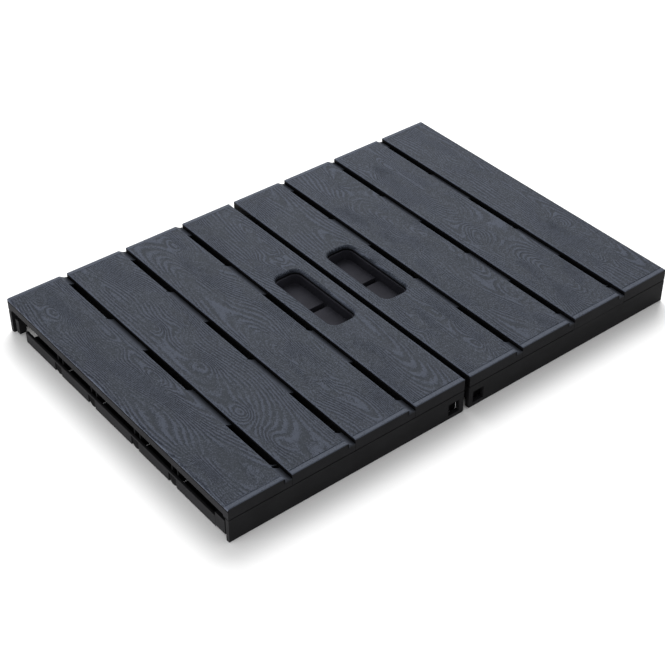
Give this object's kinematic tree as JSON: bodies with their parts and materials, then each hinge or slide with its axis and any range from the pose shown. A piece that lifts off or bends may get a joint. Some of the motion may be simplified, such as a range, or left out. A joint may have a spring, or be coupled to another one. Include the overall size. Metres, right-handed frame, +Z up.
{
  "type": "folding slatted board",
  "caption": "Folding slatted board of wood-grained plastic planks on a hollow frame, with a hand grip each side of its hinged seam.",
  "frame": {"origin": "on the floor, under the middle of the opened board", "axes": "+X across the planks, +Y along them towards the back, +Z up out of the deck"},
  "size_m": [0.6, 0.412, 0.044],
  "materials": {
    "deck": "moulded plastic embossed with wood grain, slate grey, satin",
    "frame": "fine-textured moulded plastic, dark grey",
    "grip": "smooth moulded plastic, near black",
    "rubber": "matt black rubber",
    "link": "glass-filled plastic, black, slightly glossy",
    "pin": "blackened steel, satin",
    "steel": "zinc-plated steel"
  },
  "bodies": {
    "left_leaf": {"plank_1": "deck", "plank_2": "deck", "plank_3": "deck", "plank_4": "deck", "front_rail_left": "frame", "back_rail_left": "frame", "seam_rail_left": "frame", "outer_rail_left": "frame", "cross_rib_left_1": "frame", "cross_rib_left_2": "frame", "cross_rib_left_3": "frame", "cross_rib_left_4": "frame", "foot_left_1": "rubber", "foot_left_2": "rubber", "foot_left_3": "rubber", "foot_left_4": "rubber", "grip_cup_left": "grip", "hinge_bracket_left_front": "link", "screw_left_front_1": "steel", "screw_left_front_2": "steel", "screw_left_front_3": "steel", "screw_left_front_4": "steel", "hinge_bracket_left_back": "link", "screw_left_back_1": "steel", "screw_left_back_2": "steel", "screw_left_back_3": "steel", "screw_left_back_4": "steel"},
    "hinge_links": {"hinge_link_front": "link", "hinge_link_back": "link", "hinge_pin_left_front": "pin", "hinge_pin_left_back": "pin", "hinge_pin_right_front": "pin", "hinge_pin_right_back": "pin"},
    "right_leaf": {"plank_5": "deck", "plank_6": "deck", "plank_7": "deck", "plank_8": "deck", "front_rail_right": "frame", "back_rail_right": "frame", "seam_rail_right": "frame", "outer_rail_right": "frame", "cross_rib_right_1": "frame", "cross_rib_right_2": "frame", "cross_rib_right_3": "frame", "cross_rib_right_4": "frame", "foot_right_1": "rubber", "foot_right_2": "rubber", "foot_right_3": "rubber", "foot_right_4": "rubber", "grip_cup_right": "grip", "hinge_bracket_right_front": "link", "screw_right_front_1": "steel", "screw_right_front_2": "steel", "screw_right_front_3": "steel", "screw_right_front_4": "steel", "hinge_bracket_right_back": "link", "screw_right_back_1": "steel", "screw_right_back_2": "steel", "screw_right_back_3": "steel", "screw_right_back_4": "steel"}
  },
  "joints": [
    {"name": "link_fold", "type": "hinge", "parent": "left_leaf", "child": "hinge_links", "pos_m": [-0.017, 0, 0.013], "axis": [0, 1, 0], "range_deg": [0, 90]},
    {"name": "leaf_fold", "type": "hinge", "parent": "hinge_links", "child": "right_leaf", "pos_m": [0.017, 0, 0.013], "axis": [0, 1, 0], "range_deg": [0, 90]}
  ]
}
